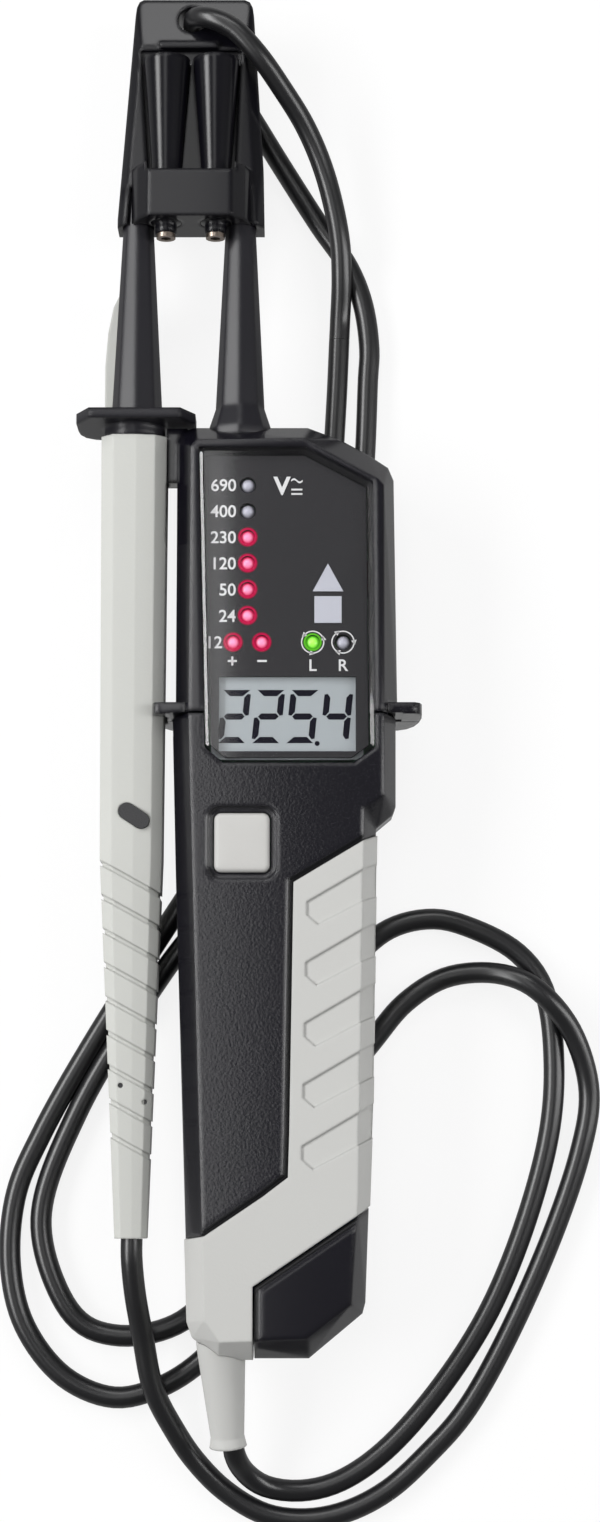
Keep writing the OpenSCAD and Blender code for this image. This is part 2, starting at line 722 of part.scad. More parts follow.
switch_w = 6;
switch_h = 2.3;
stem_l = 2.7;
button_base = board_top + switch_h + stem_l + button_travel;
module button_cap() placed() color("#b8b8b4") {
    soft_block(button_x, button_y, button_base, front_z + play, button_w, button_l, button_margin);
    soft_block(button_x, button_y, button_base, front_z - wall - play,
        button_w + 2 * over, button_l + 2 * over, button_margin);
    translate([button_x, button_y, board_top + switch_h + button_travel + fit]) cylinder(h = stem_l, r = lamp_r);
}

module button_switch() placed() color("#3c3c40")
    translate([button_x - switch_w / 2, button_y - switch_w / 2, board_top]) cube([switch_w, switch_w, switch_h]);

module buzzer() placed() color("#1b1b1e")
    translate([head_left + head_w * buzzer_shares[0], seam_y + handle_l * buzzer_shares[1], board_top]) difference() {
        cylinder(h = buzzer_h, r = buzzer_r);
        translate([0, 0, buzzer_h - over]) cylinder(h = over * 2, r = over);
    }

module batteries() placed() color("#4a6a9a") for (i = [0, 1]) {
    bar(cell_x + i * cell_pitch, cell_y, cell_z, cell_l - cell_cap_l, cell_d / 2, cell_d / 2);
    bar(cell_x + i * cell_pitch, cell_y + cell_l - cell_cap_l - sliver, cell_z, cell_cap_l + sliver, cell_d / 4, cell_d / 4);
}

module battery_contacts() placed() color("#c9c9c4")
    block([cell_x - cell_d / 2, cell_y + cell_l + fit, cell_z - cell_d / 3],
        [cell_x + cell_pitch + cell_d / 2, cell_y + cell_l + fit + contact_t, cell_z + cell_d / 3]);

module housing_screws() placed() color("#8f9093") for (i = [0 : len(screw_places) - 1]) screw_at(i) {
    translate([0, 0, back_h + fit]) cylinder(h = screw_head_h - fit, r = screw_head_r);
    translate([0, 0, back_h + screw_head_h - sliver]) cylinder(h = boss_top - back_h - screw_head_h - over, r = screw_r - fit / 2);
}

// One insulated cone with its edge to the front, and one metal pin
module cone(y, length, foot) {
    translate([0, y, axis_z]) rotate([-90, 0, 0]) cylinder(h = length, r1 = foot, r2 = cone_end_r, $fn = 8);
}

pin_tip_l = 2;
module pin(x, y0) {
    y1 = head_top + cone_l + pin_l;
    bar(x, y0, axis_z, y1 - y0 - pin_tip_l, pin_d / 2, pin_d / 2);
    bar(x, y1 - pin_tip_l, axis_z, pin_tip_l, pin_d / 2, pin_d / 8);
}

flare_end_r = cone_foot_r - (cone_foot_r - cone_end_r) * flare_l / cone_l;
module main_tip_insulator() placed() color("#202024") difference() {
    union() {
        translate([tip_x, 0, 0]) cone(head_top + sliver, cone_l - sliver, cone_foot_r);
        translate([tip_x, head_top + sliver, axis_z]) rotate([-90, 0, 0])
            cylinder(h = flare_l, r1 = flare_r, r2 = flare_end_r + sliver, $fn = 8);
        translate([tip_x, head_top - flare_seat, axis_z]) rotate([-90, 0, 0])
            cylinder(h = flare_seat + 2 * sliver, r = flare_r, $fn = 8);
        bar(tip_x, head_top - wall * 2, axis_z, wall * 2 + over, cone_foot_r, cone_foot_r);
    }
    bar(tip_x, head_top - wall * 3, axis_z, cone_l + wall * 3 + over, pin_d / 2, pin_d / 2);
}

module main_tip_pin() placed() color("#c8b98a") pin(tip_x, head_top - wall * 3);

module cord_boot() placed() color("#bdbdb8") boot_shape();

// Second probe
function tube_points(w, t, shift, inset) = [for (s = tube_section_shares)
    [probe_x + shift + (w - 2 * inset) * s[0], axis_z - t / 2 + inset + (t - 2 * inset) * s[1]]];

module tube_form(inset, top, end) {
    mid_y = tube_top - tube_l * tube_mid_share;
    hull() {
        section(tube_points(tube_w, tube_t, 0, inset), top);
        section(tube_points(tube_w * tube_mid_w_share, tube_t * tube_mid_t_share, 0, inset), mid_y);
        section(tube_points(tail_w, tail_w, tail_w * tail_shift_share, inset * tail_wall_share), end + sliver);
    }
}

groove_top_share = 0.54;
groove_angle = -28.8;
module groove_slabs() {
    for (i = [0 : groove_count - 1])
        translate([probe_x - tube_w / 2, tube_top - tube_l * groove_top_share - i * groove_pitch, 0])
            rotate([0, 0, groove_angle]) translate([-tube_w, -groove_w / 2, 0]) cube([tube_w * 3, groove_w, front_z + over]);
}

rail_y = head_top - rail_l;
tube_side = probe_x + tube_w * 0.47;
module probe_tube() placed() color("#bcbfb6") difference() {
    tube_form(0, tube_top, tube_end);
    difference() {
        union() {
            groove_slabs();
            for (s = dot_shares) translate([probe_x + tube_w * s[0], tube_top - tube_l * s[1], axis_z])
                cylinder(h = tube_t, r = dot_r);
        }
        tube_form(groove_d, tube_top + over, tube_end - over);
    }
    tube_form(tube_wall, tube_top + over, tube_end + tube_l * 0.1);
    block([probe_x, rail_y - play - rail_l, axis_z - rail_neck / 2 - play],
        [tube_side + over, tube_top + over, axis_z + rail_neck / 2 + play]);
    block([probe_x, rail_y - play - rail_l - over, axis_z - rail_head / 2 - play],
        [tube_side + over, rail_y - play, axis_z + rail_head / 2 + play]);
    translate([probe_x + tube_w * insert_shares[0], tube_top - tube_l * insert_shares[1], axis_z])
        insert_shape(tube_t, fit / 2, 0);
}

module insert_shape(height, grow, low) {
    translate([0, 0, low]) rotate([0, 0, insert_angle]) linear_extrude(height = height) union() {
        square([insert_w - insert_h, insert_h + 2 * grow], center = true);
        for (i = [-1, 1]) translate([i * (insert_w - insert_h) / 2, 0]) circle(r = insert_h / 2 + grow);
    }
}

module probe_insert() placed() color("#3b3b3e")
    translate([probe_x + tube_w * insert_shares[0], tube_top - tube_l * insert_shares[1], axis_z])
        insert_shape(tube_wall + fit, 0, tube_t / 2 - tube_wall);

flange_shares = [[-0.26, 0], [-0.37, 0.03], [-0.45, 0.11], [-0.49, 0.24], [-0.5, 0.4], [-0.5, 0.72],
    [-0.38, 1], [0.38, 1], [0.5, 0.72], [0.5, 0.4], [0.49, 0.24], [0.45, 0.11], [0.37, 0.03], [0.26, 0]];
module flange_outline() {
    polygon([for (s = flange_shares) [probe_x + flange_w * s[0], axis_z - flange_h / 2 + flange_h * s[1]]]);
}

plug_l = 6;
module probe_nose() placed() color("#202024") difference() {
    union() {
        translate([0, flange_y + flange_t, 0]) rotate([90, 0, 0]) linear_extrude(height = flange_t) flange_outline();
        bar(probe_x - tube_w * 0.03, tube_top + sliver, axis_z, collar_l, tube_w * 0.46, tube_w * 0.46);
        bar(probe_x - tube_w * 0.03, tube_top - plug_l, axis_z, plug_l + over, tube_t / 2 - tube_wall - play, tube_t / 2 - tube_wall - play);
        translate([probe_x, 0, 0]) cone(flange_y + flange_t - sliver, head_top + cone_l - flange_y - flange_t, cone_foot_r);
    }
    bar(probe_x, tube_top - plug_l - over, axis_z, cone_l * 2, pin_d / 2, pin_d / 2);
    block([probe_x + tube_w * 0.25, tube_top - plug_l - over, axis_z - rail_head / 2 - play],
        [tube_side + over, tube_top, axis_z + rail_head / 2 + play]);
}

module probe_tip_pin() placed() color("#c8b98a") pin(probe_x, tube_top - plug_l);

module probe_rear_fin() placed() color("#c2c4be")
    translate([0, 0, axis_z - cone_foot_r - rear_fin_t]) linear_extrude(height = rear_fin_t)
        polygon([for (s = fin_outline_shares) [probe_x + tube_w * s[0], flange_y + flange_t + rear_fin_l * s[1]]]);

probe_board_l = 56;
probe_board_drop = 2;
resistor_r = 1.1;
resistor_l = 6;
resistor_share = 0.16;
module probe_board() placed() color("#1f5a38") {
    w = tube_w - 2 * tube_wall - 6 * play;
    y = rail_y - 2 * rail_l;
    z = axis_z - probe_board_drop;
    translate([probe_x - tube_w * 0.03 - w / 2, y - probe_board_l, z]) cube([w, probe_board_l, board_t]);
    for (i = [2 : 5]) bar(probe_x, y - probe_board_l * i * resistor_share, z + board_t + resistor_r - sliver,
        resistor_l, resistor_r, resistor_r);
}

// Tip cap with its stored sleeves
module cap_form() {
    hull() {
        slice(on_cap(cap_rim_shares), cap_base, cap_bevel);
        prism(on_cap(cap_rim_shares), cap_base + cap_bevel, cap_base + cap_t * 0.8);
        slice(on_cap(cap_front_shares), cap_base + cap_t);
    }
    hull() for (i = [0 : 2]) {
        s = [0.7, 1.3, 1.6][i];
        b = band_low_shares[i];
        slice(on_cap([[b[0], 0], [b[1], 0], [b[1], band_l / cap_l], [b[0], band_l / cap_l]]), cap_base + cap_t * s - sliver);
    }
    rib = on_cap(rib_shares);
    block([rib[0][0], rib[0][1], cap_base + cap_t / 2], [rib[1][0], rib[1][1], cap_base + cap_t + over]);
}

module sleeve_shape(x, grow) {
    taper_l = sleeve_top - cap_y - band_l - sleeve_step;
    bar(x, sleeve_top - taper_l, sleeve_z, taper_l + grow, sleeve_neck_r + grow, sleeve_r + grow);
    bar(x, cap_y - grow * 4, sleeve_z, sleeve_top - cap_y - taper_l + grow * 8, sleeve_neck_r + grow, sleeve_neck_r + grow);
}

module tip_cap() placed() color("#202024") difference() {
    cap_form();
    for (x = [sleeve_x - sleeve_pitch / 2, sleeve_x + sleeve_pitch / 2]) sleeve_shape(x, fit);
    prism(on_cap(trough_shares), cap_base + cap_t * 0.9, cap_base + cap_t * 3);
    intersection() {
        prism(on_cap(trough_shares), sleeve_z, cap_base + cap_t * 3);
        block([cap_left, cap_y + band_l, 0], [cap_left + cap_w, cap_y + cap_l, cap_base + cap_t * 3]);
    }
    for (x = [probe_x, tip_x]) {
        bar(x, cap_y - over, axis_z, head_top + cone_l + over - cap_y + over, cone_foot_r * 0.64, cone_foot_r * 0.6);
        bar(x, cap_y, axis_z, head_top + cone_l + pin_l + over - cap_y, pin_d / 2 + play, pin_d / 2 + play);
    }
    translate([cap_left + cap_w * hole_shares[0], cap_y + cap_l * hole_shares[1], -over]) cylinder(h = front_z * 2, r = cord_hole_d / 2);
}

module tip_sleeve(x) {
    difference() {
        union() {
            sleeve_shape(x, 0);
            bar(x, cap_y - collar_out, sleeve_z, collar_out + over, collar_r, collar_r);
        }
        bar(x, cap_y - collar_out - over, sleeve_z, adapter_l + over, adapter_d / 2 + play / 3, adapter_d / 2 + play / 3);
    }
}

module tip_sleeve_left() placed() color("#1d1d20") tip_sleeve(sleeve_x - sleeve_pitch / 2);
module tip_sleeve_right() placed() color("#1d1d20") tip_sleeve(sleeve_x + sleeve_pitch / 2);

module tip_adapter(x) {
    difference() {
        union() {
            bar(x, cap_y - collar_out - over + sliver, sleeve_z, adapter_l, adapter_d / 2, adapter_d / 2);
            bar(x, cap_y - collar_out - over, sleeve_z, ring_t, ring_r, ring_r);
        }
        bar(x, cap_y - collar_out - 2 * over, sleeve_z, adapter_l / 2, pin_d / 2, pin_d / 2);
    }
}

module tip_adapter_left() placed() color("#b9b7b0") tip_adapter(sleeve_x - sleeve_pitch / 2);
module tip_adapter_right() placed() color("#b9b7b0") tip_adapter(sleeve_x + sleeve_pitch / 2);

// The cord: a tube swept along a route, turned as little as possible from ring to ring
function unit(v) = v / norm(v);
function heading(p, i) = unit(p[min(i + 1, len(p) - 1)] - p[max(i - 1, 0)]);
function square_to(n, t) = unit(n - (n * t) * t);
function sides_of(p) = [for (i = 0, n = square_to([0.1, 0.2, 1], heading(p, 0)); i < len(p);
    i = i + 1, n = i < len(p) ? square_to(n, heading(p, i)) : n) n];
module cord(route) {
    sides = sides_of(route);
    count = len(route);
    points = [for (i = [0 : count - 1], k = [0 : cord_sides - 1])
        let (a = 360 * k / cord_sides, n = sides[i], b = cross(heading(route, i), n))
        route[i] + cord_r * (cos(a) * n + sin(a) * b)];
    quads = [for (i = [0 : count - 2], k = [0 : cord_sides - 1])
        let (a = i * cord_sides + k, b = i * cord_sides + (k + 1) % cord_sides)
        [[a, a + cord_sides, b], [b, a + cord_sides, b + cord_sides]]];
    polyhedron(points, concat([for (q = quads) for (f = q) f],
        [[for (k = [0 : cord_sides - 1]) k]],
        [[for (k = [cord_sides - 1 : -1 : 0]) (count - 1) * cord_sides + k]]));
}

module cord_main_run() placed() color("#1b1b1d") cord(main_route);
module cord_cap_loop() placed() color("#1b1b1d") cord(loop_route);
module cord_probe_run() placed() color("#1b1b1d") cord(probe_route);

rear_shell();
head_cover();
lower_front_panel();
grip_overmould();
battery_cover();
battery_cover_contact();
battery_cover_screw();
display_window();
face_plate();
lcd_module();
circuit_board();
lamps_red();
lamps_green();
lamps_clear();
symbol_windows();
button_cap();
button_switch();
buzzer();
batteries();
battery_contacts();
housing_screws();
main_tip_insulator();
main_tip_pin();
cord_boot();
probe_tube();
probe_nose();
probe_tip_pin();
probe_insert();
probe_rear_fin();
probe_board();
tip_cap();
tip_sleeve_left();
tip_sleeve_right();
tip_adapter_left();
tip_adapter_right();
cord_main_run();
cord_cap_loop();
cord_probe_run();
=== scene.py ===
"""A two-pole voltage tester on a white table: the handset with its display, the docked
second probe, the cap over both tips and the one cord that joins them."""

import math

import bmesh
import bpy
from mathutils import Matrix, Vector


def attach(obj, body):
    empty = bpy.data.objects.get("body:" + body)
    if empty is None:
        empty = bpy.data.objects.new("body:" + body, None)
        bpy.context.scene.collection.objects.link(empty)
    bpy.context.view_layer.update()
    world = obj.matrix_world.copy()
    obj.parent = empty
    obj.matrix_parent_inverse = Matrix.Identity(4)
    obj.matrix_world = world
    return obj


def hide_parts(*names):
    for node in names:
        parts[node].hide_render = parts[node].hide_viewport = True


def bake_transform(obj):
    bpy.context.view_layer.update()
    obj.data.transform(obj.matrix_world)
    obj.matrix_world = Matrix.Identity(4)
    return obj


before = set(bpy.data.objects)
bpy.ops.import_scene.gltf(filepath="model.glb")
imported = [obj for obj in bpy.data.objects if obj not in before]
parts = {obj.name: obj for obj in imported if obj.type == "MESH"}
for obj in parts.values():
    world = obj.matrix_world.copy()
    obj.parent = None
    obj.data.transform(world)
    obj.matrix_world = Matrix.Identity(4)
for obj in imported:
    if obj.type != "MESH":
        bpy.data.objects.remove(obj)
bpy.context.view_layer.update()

# Table, light and camera.
# The tester lies on a white table under a plain soft studio light. The camera stands
# over it, tipped a little towards the handle's end.

# Table and lamps are placed in metres, the camera and all of the tester in millimetres.
MM = 0.001
TABLE_HALF, TABLE_Z = 3, -0.0001
PAPER_GLOW, MIRRORED_GLOW, SKY_LIGHT = 0.86, 0.38, 0.13
SENSOR, CAMERA_AWAY, VIEW_TALL, LEAN = 36, 550, 304.4, math.radians(8)


def at(x, y, z=0.0):
    """A point of the tester given in millimetres."""
    return Vector((x * MM, y * MM, z * MM))


def empty_material(name):
    """A new material whose node tree is still empty."""
    material = bpy.data.materials.new(name)
    material.use_nodes = True
    material.node_tree.nodes.clear()
    return material


scene = bpy.context.scene
scene.view_settings.view_transform = "Standard"

table_mesh = bpy.data.meshes.new("table_top")
corners = [(x * TABLE_HALF, y * TABLE_HALF, 0) for x, y in ((-1, -1), (1, -1), (1, 1), (-1, 1))]
table_mesh.from_pydata(corners, [], [(0, 1, 2, 3)])
table_top = bpy.data.objects.new("table_top", table_mesh)
table_top.location.z = TABLE_Z
scene.collection.objects.link(table_top)

# The camera sees the paper as nearly even white, also through clear pieces. Polished faces
# mirror it as a much weaker light, and everything else is lit by the paper itself.
table_white = empty_material("table_white")
tree = table_white.node_tree
paper = tree.nodes.new("ShaderNodeBsdfDiffuse")
paper.inputs["Color"].default_value = (0.88, 0.88, 0.88, 1)
glow = tree.nodes.new("ShaderNodeEmission")
glow.inputs["Color"].default_value = (1, 1, 1, 1)
ray = tree.nodes.new("ShaderNodeLightPath")
seen = tree.nodes.new("ShaderNodeMath")
seen.operation = "MAXIMUM"
share = tree.nodes.new("ShaderNodeMath")
share.operation = "MULTIPLY"
share.inputs[1].default_value = PAPER_GLOW
mirrored = tree.nodes.new("ShaderNodeMath")
mirrored.operation = "MULTIPLY_ADD"
mirrored.inputs[1].default_value = MIRRORED_GLOW - 1
mirrored.inputs[2].default_value = 1
bare = tree.nodes.new("ShaderNodeMath")
bare.operation = "MAXIMUM"
mix = tree.nodes.new("ShaderNodeMixShader")
out = tree.nodes.new("ShaderNodeOutputMaterial")
tree.links.new(ray.outputs["Is Camera Ray"], seen.inputs[0])
tree.links.new(ray.outputs["Is Transmission Ray"], seen.inputs[1])
tree.links.new(seen.outputs[0], share.inputs[0])
tree.links.new(ray.outputs["Is Glossy Ray"], mirrored.inputs[0])
tree.links.new(share.outputs[0], bare.inputs[0])
tree.links.new(ray.outputs["Is Glossy Ray"], bare.inputs[1])
tree.links.new(mirrored.outputs[0], glow.inputs["Strength"])
tree.links.new(bare.outputs[0], mix.inputs[0])
tree.links.new(paper.outputs[0], mix.inputs[1])
tree.links.new(glow.outputs[0], mix.inputs[2])
tree.links.new(mix.outputs[0], out.inputs[0])
table_mesh.materials.append(table_white)

sky = bpy.data.worlds.new("studio")
sky.use_nodes = True
air = sky.node_tree.nodes["Background"]
air.inputs["Color"].default_value = (1, 1, 1, 1)
air.inputs["Strength"].default_value = SKY_LIGHT
scene.world = sky


def softbox(name, place, look, width, height, power):
    """One studio lamp, aimed at a point of the tester."""
    data = bpy.data.lights.new(name, "AREA")
    data.shape = "RECTANGLE"
    data.size, data.size_y, data.energy = width, height, power
    lamp = bpy.data.objects.new(name, data)
    lamp.location = place
    lamp.rotation_mode = "QUATERNION"
    lamp.rotation_quaternion = (Vector(look) - Vector(place)).to_track_quat("-Z", "Y")
    scene.collection.objects.link(lamp)


softbox("softbox_left", (-0.8, 0.1, 0.7), (0, 0, 0), 1.1, 0.36, 12.5)
softbox("softbox_right", (0.85, 0.0, 0.6), (0, 0, 0), 0.3, 1.0, 6)
softbox("softbox_top", (-0.1, 0.8, 0.8), (0, 0.05, 0), 0.8, 0.3, 3.2)
softbox("softbox_front", (-0.1, 0.125, 0.7), (-0.1, 0.1249, 0), 0.157, 0.65, 0.56)

lens = bpy.data.cameras.new("camera")
lens.sensor_width = SENSOR
lens.lens = SENSOR * CAMERA_AWAY / VIEW_TALL
lens.clip_start, lens.clip_end = 0.02, 10
camera = bpy.data.objects.new("camera", lens)
aim = at(10.477, -12.57, 15)
camera.location = aim + CAMERA_AWAY * MM * Vector((0, -math.sin(LEAN), math.cos(LEAN)))
camera.rotation_euler = (LEAN, 0, 0)
scene.collection.objects.link(camera)
scene.camera = camera

# The cord.
# One soft silicone cord, 4.3 mm thick, leaves the strain relief, runs under the tester,
# up through the hole in the cap, back under, and round to the second probe's tail.

# The routes through its middle. Where that is 2.2 high, the cord lies on the table.
SHIFT_X, SHIFT_Y = 0.677, -6.170
CORD_R = 2.15
BOOT_TO_CAP = [
    (-3.35, -138, 10.6), (-3, -142, 9.5), (-1, -146, 6), (3, -149, 3.4), (10, -150, 2.2),
    (18, -148, 2.2), (29, -140, 2.2), (47, -116, 2.2), (59, -84, 2.2), (61, -66, 2.2),
    (59, -51, 2.2), (54, -44, 2.2), (45, -39, 2.2), (37, -37, 2.2), (28, -39, 2.2),
    (20, -46, 2.2), (11, -60, 2.2), (4, -78, 2.2), (-2, -97, 2.2), (-6, -109, 2.2),
    (-12, -116, 2.2), (-18, -119, 2.2), (-26, -120, 2.2), (-33, -118, 2.2),
    (-38, -112, 2.2), (-42, -97, 2.2), (-35, -76, 2.2), (-18, -48, 2.2),
    (0, -24, 2.2), (8, -5, 2.2), (15, 12, 2.2), (20, 30, 2.2), (23, 55, 2.2),
    (24, 76, 2.2),
]
THROUGH_CAP = [
    (24, 76, 2.2), (24.3, 82.3, 2.2), (23, 92, 2.2), (20, 100, 2.2), (14, 109, 2.2),
    (6, 122, 2.2), (-3, 137, 2.2), (-9, 145.5, 2.4), (-12, 148.2, 4.6), (-12.4, 148.8, 8),
    (-12.4, 148.9, 13), (-11.6, 148.6, 17.5), (-8.5, 147.4, 20), (-4, 145, 20.6),
    (1, 140, 19.6), (6, 134, 16), (11, 127, 12), (15, 118, 9), (18, 105, 7.2),
    (18.5, 97, 5), (18.2, 88.4, 2.2), (18, 84, 2.2),
]
CAP_TO_LOOP = [
    (18, 84, 2.2), (17.4, 70.8, 2.2), (16, 50, 2.2), (14, 33, 2.2), (8, 16, 2.2),
    (2, 0, 2.2), (-6, -21, 2.2), (-15, -35, 2.2), (-32, -62, 2.2), (-42, -80, 2.2),
    (-47, -92, 2.2), (-48, -106, 2.2), (-45, -118, 2.2), (-37, -128, 2.2), (-27, -132, 2.2),
    (-18, -130, 2.2), (-10, -125, 2.2), (-3, -117, 2.2), (3, -105, 2.2), (9, -89, 2.2),
    (16, -73, 2.2), (25, -61, 2.2), (31, -54, 2.2), (39, -49, 2.2), (48, -48, 4),
    (55, -50, 6.6), (60, -54, 6.8), (65, -61, 4.6), (68, -72, 2.2), (66, -84, 2.2),
    (56, -110, 2.2), (43, -134, 2.2), (35, -143, 2.2), (27, -150, 2.2),
]
LOOP_TO_PROBE = [
    (27, -150, 2.2), (19, -154, 2.2), (11, -155.5, 2.2), (3, -154.5, 2.2), (-5, -150, 2.2),
    (-11, -144, 3), (-15, -138, 4.8), (-19, -130, 7.2), (-21, -120, 9.6),
    (-22.5, -111, 12.6), (-23.1, -104, 14.3), (-23.1, -100.6, 14.3),
]


def shifted(x, y, z):
    """A point of a route in its place in the frame."""
    return at(x + SHIFT_X, y + SHIFT_Y, z)


def smooth_route(points, before=None, after=None, step=1.6):
    """A smooth line through the points of a route, in metres, with even steps."""
    pts = [shifted(*point) for point in points]
    first = shifted(*before) if before else 2 * pts[0] - pts[1]
    last = shifted(*after) if after else 2 * pts[-1] - pts[-2]
    pts = [first] + pts + [last]
    line = []
    for i in range(1, len(pts) - 2):
        a, b, c, d = pts[i - 1 : i + 3]
        ta = (b - a).length ** 0.5
        tb = ta + (c - b).length ** 0.5
        tc = tb + (d - c).length ** 0.5
        count = max(2, round((c - b).length / (step * MM)))
        for k in range(count):
            t = ta + (tb - ta) * k / count
            e1 = a * ((ta - t) / ta) + b * (t / ta)
            e2 = b * ((tb - t) / (tb - ta)) + c * ((t - ta) / (tb - ta))
            e3 = c * ((tc - t) / (tc - tb)) + d * ((t - tb) / (tc - tb))
            f1 = e1 * ((tb - t) / tb) + e2 * (t / tb)
            f2 = e2 * ((tc - t) / (tc - ta)) + e3 * ((t - ta) / (tc - ta))
            line.append(f1 * ((tb - t) / (tb - ta)) + f2 * ((t - ta) / (tb - ta)))
    line.append(pts[-2])
    return line


def add_piece(name, mesh, material, soft=True):
    """Puts a finished mesh into the scene with its material."""
    piece = bpy.data.objects.new(name, mesh)
    mesh.materials.append(material)
    for face in mesh.polygons:
        face.use_smooth = soft
    scene.collection.objects.link(piece)
    return piece


def cord_tube(name, line, material, sides=18):
    """A round tube along a line, without twist."""
    end = len(line) - 1
    heading = [(line[min(i + 1, end)] - line[max(i - 1, 0)]).normalized() for i in range(end + 1)]
    side = heading[0].orthogonal().normalized()
    verts, faces = [], []
    for point, ahead in zip(line, heading):
        side = (side - ahead * side.dot(ahead)).normalized()
        up = ahead.cross(side)
        for k in range(sides):
            turn = 2 * math.pi * k / sides
            verts.append(point + CORD_R * MM * (side * math.cos(turn) + up * math.sin(turn)))
    for i in range(end):
        for k in range(sides):
            a, b = i * sides + k, i * sides + (k + 1) % sides
            faces.append((a, b, b + sides, a + sides))
    faces.append(tuple(range(sides - 1, -1, -1)))
    faces.append(tuple(end * sides + k for k in range(sides)))
    mesh = bpy.data.meshes.new(name)
    mesh.from_pydata(verts, [], faces)
    piece = add_piece(name, mesh, material)
    mesh.set_sharp_from_angle(angle=math.radians(50))
    return piece


def moulded(name, colour, rough, grain=900.0, depth=0.12, mottle=0.06, sheen=0.0, specular=0.5,
            speck=0.0, edge=0.0, coat=0.0, polish=0.11, metallic=0.0):
    """A fine-grained surface with a faint change of tone and gloss. An edge radius in
    millimetres rounds its shading, a coat adds polish, and a speck adds painted glints of a sparkling
    grain."""
    material = bpy.data.materials.new(name)
    material.use_nodes = True
    nodes, links = material.node_tree.nodes, material.node_tree.links
    skin = nodes["Principled BSDF"]
    skin.inputs["Metallic"].default_value = metallic
    skin.inputs["Specular IOR Level"].default_value = specular
    skin.inputs["Sheen Weight"].default_value = sheen
    skin.inputs["Coat Weight"].default_value = coat
    skin.inputs["Coat Roughness"].default_value = polish
    skin.inputs["Coat IOR"].default_value = 1.6
    place = nodes.new("ShaderNodeTexCoord")
    fine = nodes.new("ShaderNodeTexNoise")
    fine.inputs["Scale"].default_value = grain
    fine.inputs["Detail"].default_value = 3
    broad = nodes.new("ShaderNodeTexNoise")
    broad.inputs["Scale"].default_value = 35
    broad.inputs["Detail"].default_value = 4
    bump = nodes.new("ShaderNodeBump")
    bump.inputs["Strength"].default_value = depth
    bump.inputs["Distance"].default_value = 0.0002
    tone = nodes.new("ShaderNodeMapRange")
    tone.inputs["To Min"].default_value = 1 - mottle
    tone.inputs["To Max"].default_value = 1 + mottle
    tint = nodes.new("ShaderNodeMix")
    tint.data_type, tint.blend_type = "RGBA", "MULTIPLY"
    tint.inputs["Factor"].default_value = 1
    tint.inputs["A"].default_value = (*colour, 1)
    gloss = nodes.new("ShaderNodeMapRange")
    gloss.inputs["To Min"].default_value = max(0.02, rough - 0.06)
    gloss.inputs["To Max"].default_value = min(1.0, rough + 0.06)
    for noise in (fine, broad):
        links.new(place.outputs["Object"], noise.inputs["Vector"])
    if edge:
        turned = nodes.new("ShaderNodeBevel")
        turned.samples = 6
        turned.inputs["Radius"].default_value = edge * MM
        links.new(turned.outputs["Normal"], bump.inputs["Normal"])
        links.new((bump if speck else turned).outputs["Normal"], skin.inputs["Coat Normal"])
    links.new(fine.outputs["Fac"], bump.inputs["Height"])
    links.new(bump.outputs["Normal"], skin.inputs["Normal"])
    links.new(broad.outputs["Fac"], tone.inputs["Value"])
    links.new(tone.outputs["Result"], tint.inputs["B"])
    links.new(broad.outputs["Fac"], gloss.inputs["Value"])
    links.new(gloss.outputs["Result"], skin.inputs["Roughness"])
    # Light grey spots painted into the colour: painted glints of the grain's sparkle.
    if speck:
        glint_spots = nodes.new("ShaderNodeTexVoronoi")
        glint_spots.inputs["Scale"].default_value = 3200
        spark = nodes.new("ShaderNodeMapRange")
        spark.inputs["From Min"].default_value = 0.16
        spark.inputs["From Max"].default_value = 0.02
        spark.inputs["To Max"].default_value = speck
        lift = nodes.new("ShaderNodeMix")
        lift.data_type, lift.blend_type = "RGBA", "MIX"
        lift.inputs["B"].default_value = (0.35, 0.35, 0.38, 1)
        links.new(place.outputs["Object"], glint_spots.inputs["Vector"])
        links.new(glint_spots.outputs["Distance"], spark.inputs["Value"])
        links.new(spark.outputs["Result"], lift.inputs["Factor"])
        links.new(tint.outputs["Result"], lift.inputs["A"])
        links.new(lift.outputs["Result"], skin.inputs["Base Color"])
    else:
        links.new(tint.outputs["Result"], skin.inputs["Base Color"])
    return material


cord_black = moulded("cord_black", (0.0075, 0.0075, 0.0085), 0.36, grain=1600, depth=0.08,
                     mottle=0.2, specular=0.35, coat=0.5, polish=0.3)

cords = [
    ("cord_to_cap", BOOT_TO_CAP, None, (24.3, 82.3, 2.2), "cord_main_run"),
    ("cord_through_cap", THROUGH_CAP, (23, 55, 2.2), (17.4, 70.8, 2.2), "cord_cap_loop"),
    ("cord_to_loop", CAP_TO_LOOP, (18.2, 88.4, 2.2), (19, -154, 2.2), "cord_probe_run"),
    ("cord_to_probe", LOOP_TO_PROBE, (35, -143, 2.2), None, "cord_probe_run"),
]
for name, route, before, after, solid in cords:
    line = smooth_route(route, before, after)
    piece = cord_tube(name, line, cord_black)
    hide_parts(solid)
    if name == "cord_through_cap":
        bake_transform(piece)
    elif name == "cord_to_probe":
        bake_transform(piece)
    else:
        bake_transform(piece)


# The housing.
# Two black moulded shells meet at a seam round the sides. The back shell, the head cover
# and the handle's front panel are screwed together; the panel has a fine grain, its sparkle painted as
# light grey glints.
BORDER_TOP = 24.45


def dress(node, material):
    """Gives a solid its finish."""
    mesh = parts[node].data
    mesh.materials.clear()
    mesh.materials.append(material)


def edged(node, material, height):
    """Gives the upward faces of a solid at one height a second finish."""
    mesh = parts[node].data
    mesh.materials.append(material)
    for face in mesh.polygons:
        if abs(face.center.z - height * MM) < 0.05 * MM and face.normal.z > 0.9:
            face.material_index = 1


